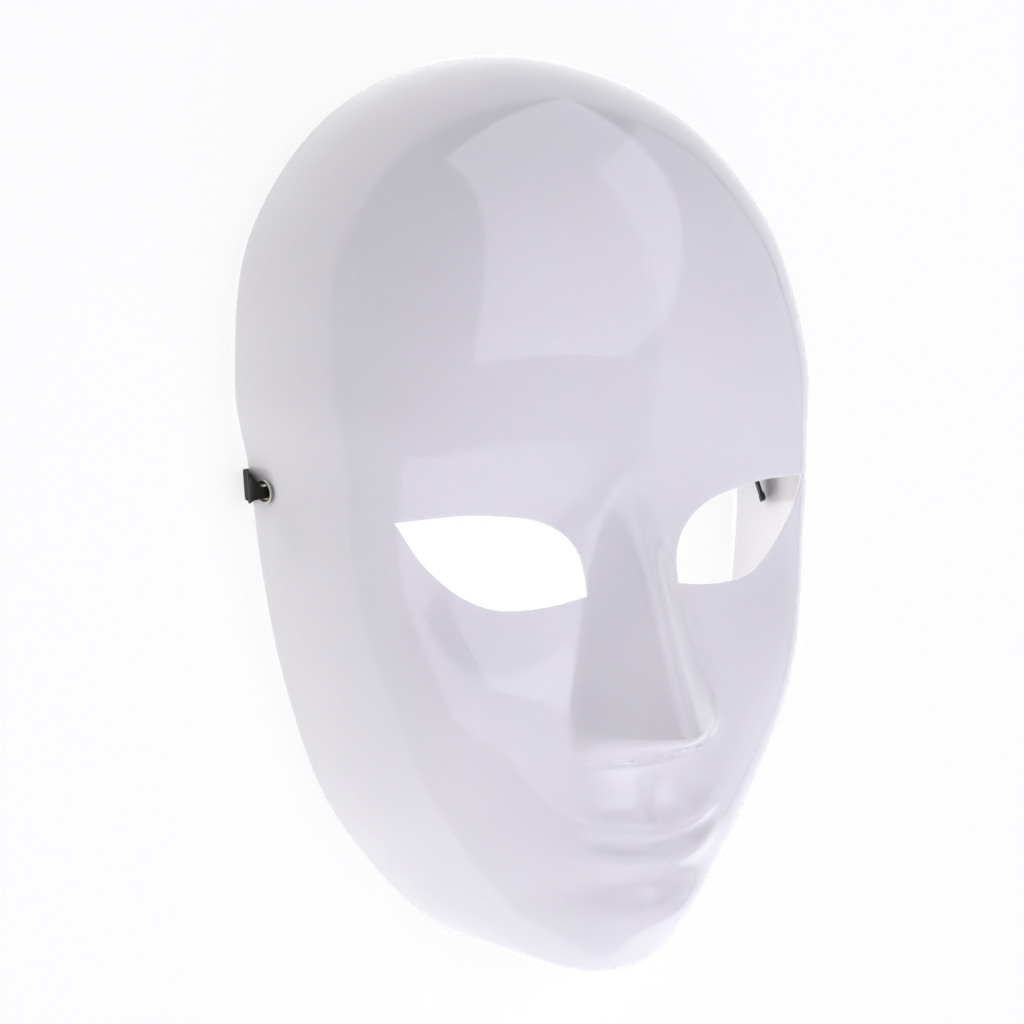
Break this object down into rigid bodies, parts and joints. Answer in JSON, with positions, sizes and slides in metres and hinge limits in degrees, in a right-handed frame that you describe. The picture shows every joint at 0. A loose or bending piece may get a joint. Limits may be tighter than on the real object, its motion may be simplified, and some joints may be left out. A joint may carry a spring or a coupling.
{
  "type": "full face mask",
  "caption": "Blank full face mask of thin glossy white plastic, with open eyes, nostril slits and a flat elastic band held by metal eyelets, lying face up.",
  "frame": {"origin": "on the surface that the mask lies on, below the middle of its height and width", "axes": "+Y towards the top of the forehead, +Z out of the face, +X to the wearer's left; the mask is the same on both sides of x = 0"},
  "size_m": [0.1746, 0.245, 0.0698],
  "materials": {
    "shell": "glossy formed sheet, white with a slight lavender tone",
    "eyelet": "bright nickel plate, slightly dulled",
    "elastic": "black woven flat elastic"
  },
  "bodies": {
    "root": {"mask_shell": "shell", "eyelet_right": "eyelet", "eyelet_left": "eyelet", "elastic_band": "elastic"}
  },
  "joints": []
}
